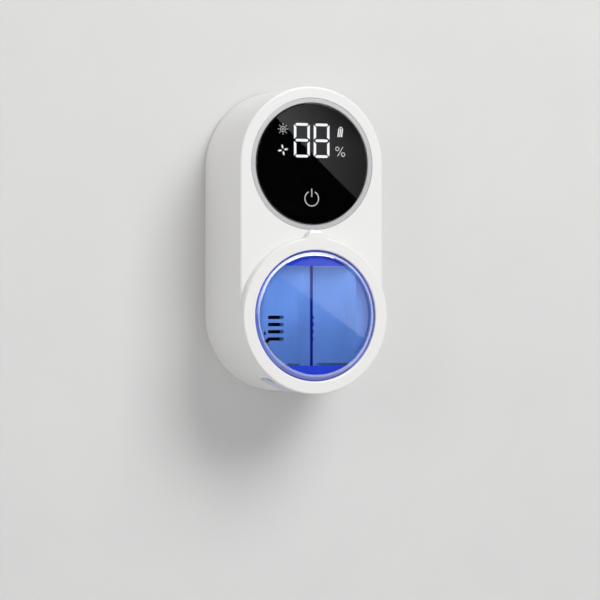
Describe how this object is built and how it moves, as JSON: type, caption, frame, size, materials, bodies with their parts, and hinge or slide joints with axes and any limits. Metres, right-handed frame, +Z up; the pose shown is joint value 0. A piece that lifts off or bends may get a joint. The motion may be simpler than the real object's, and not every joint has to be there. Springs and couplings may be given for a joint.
{
  "type": "toothbrush sanitizer",
  "caption": "Wall-hung toothbrush sanitizer: a stadium-shaped case with a round touch display above and a round flip-up tinted window over two lit brush cells below.",
  "frame": {"origin": "on the adhesive pad face that lies on the wall, at the middle of the case width and height", "axes": "+Z up, front faces -Y, +X to the right as seen from the front; the wall is the plane Y = 0"},
  "size_m": [0.0724, 0.0499, 0.1427],
  "materials": {
    "white_plastic": "smooth moulded ABS, satin gloss",
    "liner_plastic": "polished moulded ABS that spreads the lamp light",
    "door_white": "smooth moulded ABS, satin gloss",
    "silver_ring": "turned aluminium with fine concentric lines",
    "black_glass": "printed black glass, polished",
    "blue_window": "tinted clear polycarbonate, polished",
    "blue_plastic": "deep blue moulded ABS",
    "steel": "plain steel",
    "magnet_nickel": "nickel-plated neodymium",
    "foam_tape": "acrylic foam tape",
    "silicone": "matt grey silicone",
    "circuit_board": "green solder mask on glass epoxy",
    "black_plastic": "matt black moulded plastic",
    "cell_foil": "aluminium laminate pouch",
    "lamp_package": "white ceramic lamp package",
    "quartz": "polished clear quartz",
    "lit_white": "frosted light guide, lit"
  },
  "bodies": {
    "wall_mount": {"adhesive_pad": "foam_tape", "wall_plate": "white_plastic"},
    "case": {"rear_cover": "white_plastic", "rear_cover_screws": "steel", "front_housing": "white_plastic", "battery_foam": "foam_tape", "battery": "cell_foil", "charge_board": "circuit_board", "charge_board_screws": "steel", "usb_socket": "steel", "fan_frame": "black_plastic", "fan_screws": "steel", "chamber_liner": "liner_plastic", "liner_screws": "steel", "centre_divider": "liner_plastic", "neck_grips": "silicone", "lamp_windows": "quartz", "uv_lamps": "lamp_package", "lamp_board": "circuit_board", "lamp_board_screws": "steel", "door_sensor": "black_plastic", "main_board": "circuit_board", "main_board_screws": "steel", "buzzer": "black_plastic", "touch_spring": "steel", "light_box": "black_plastic", "digit_segments": "lit_white", "icon_inserts": "lit_white", "glass_tape": "foam_tape", "display_glass": "black_glass", "trim_ring": "silver_ring", "case_magnets": "magnet_nickel", "hinge_bracket": "steel", "bracket_screws": "steel"},
    "door": {"hinge_pin": "steel", "door_ring": "door_white", "door_window": "blue_window", "window_clamp": "blue_plastic", "door_magnets": "magnet_nickel"},
    "rotor": {"fan_rotor": "black_plastic"}
  },
  "joints": [
    {"name": "lift_off", "type": "slide", "parent": "wall_mount", "child": "case", "axis": [0, -0.7071, 0.7071], "range_m": [0, 0.03]},
    {"name": "door_flip", "type": "hinge", "parent": "case", "child": "door", "pos_m": [0, -0.0474, 0.0028], "axis": [-1, 0, 0], "range_deg": [0, 95]},
    {"name": "fan_spin", "type": "hinge", "parent": "case", "child": "rotor", "pos_m": [0, -0.012, -0.04125], "axis": [0, -1, 0], "continuous": true}
  ]
}
